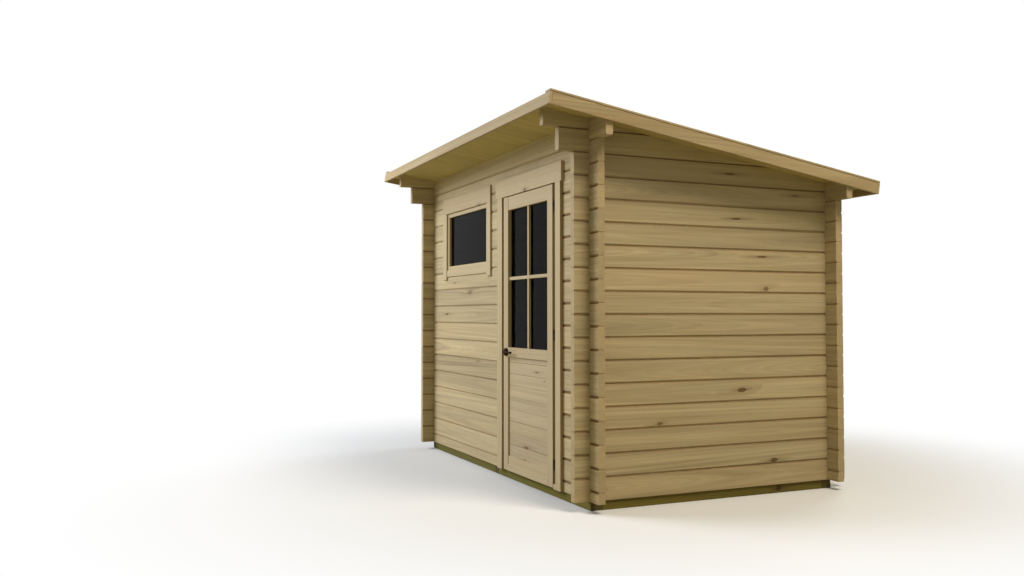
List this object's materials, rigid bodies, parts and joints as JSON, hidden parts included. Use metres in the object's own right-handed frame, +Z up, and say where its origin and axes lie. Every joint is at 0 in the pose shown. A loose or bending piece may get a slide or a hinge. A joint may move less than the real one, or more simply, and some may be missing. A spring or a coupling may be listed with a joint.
{
  "type": "garden summerhouse",
  "caption": "Small timber summerhouse of stacked boards crossed at the corners, with a single-pitch roof, a half-glazed door that opens outwards and a fixed window.",
  "frame": {"origin": "on the ground in the middle of the walls' plan, on the underside of the middle floor bearer", "axes": "+X to the right seen from the front, +Y to the rear, +Z up; the door and the window face -Y"},
  "size_m": [2.874, 2.1347, 2.1083],
  "materials": {
    "spruce": "planed, unpainted",
    "joinery": "planed, unpainted",
    "roof_timber": "planed, unpainted",
    "treated_timber": "pressure treated, sawn",
    "glass": "clear",
    "felt": "mineral roofing felt",
    "dark_metal": "dark bronze"
  },
  "bodies": {
    "house": {"base_beam_front": "treated_timber", "base_beam_rear": "treated_timber", "base_beam_left": "treated_timber", "base_beam_right": "treated_timber", "floor_bearers": "treated_timber", "floor_boards": "spruce", "front_wall_lower": "spruce", "front_wall_window_left": "spruce", "front_wall_window_right": "spruce", "front_wall_right": "spruce", "front_wall_top": "spruce", "left_wall": "spruce", "right_wall": "spruce", "rear_wall": "spruce", "window_lining": "joinery", "window_sash": "joinery", "window_glass": "glass", "window_beads": "joinery", "window_casings": "joinery", "window_header": "joinery", "window_bottom_rail": "joinery", "window_inner_trim": "joinery", "door_jambs": "joinery", "door_head": "joinery", "door_sill": "joinery", "door_casings": "joinery", "door_header": "joinery", "door_inner_trim": "joinery", "hinge_pins": "dark_metal", "roof_boards": "roof_timber", "roof_felt": "felt", "fascia_front": "roof_timber", "fascia_rear": "roof_timber", "fascia_left": "roof_timber", "fascia_right": "roof_timber", "verge_laths": "roof_timber", "roof_purlin": "roof_timber"},
    "door": {"door_stiles": "joinery", "door_rails": "joinery", "door_panel_boards": "joinery", "door_glass": "glass", "door_glazing_bars": "joinery", "door_handle": "dark_metal", "hinge_barrels": "dark_metal"}
  },
  "joints": [
    {"name": "door_hinge", "type": "hinge", "parent": "house", "child": "door", "pos_m": [0.86825, -0.817, 0.895], "axis": [0, 0, 1], "range_deg": [0, 110]}
  ]
}
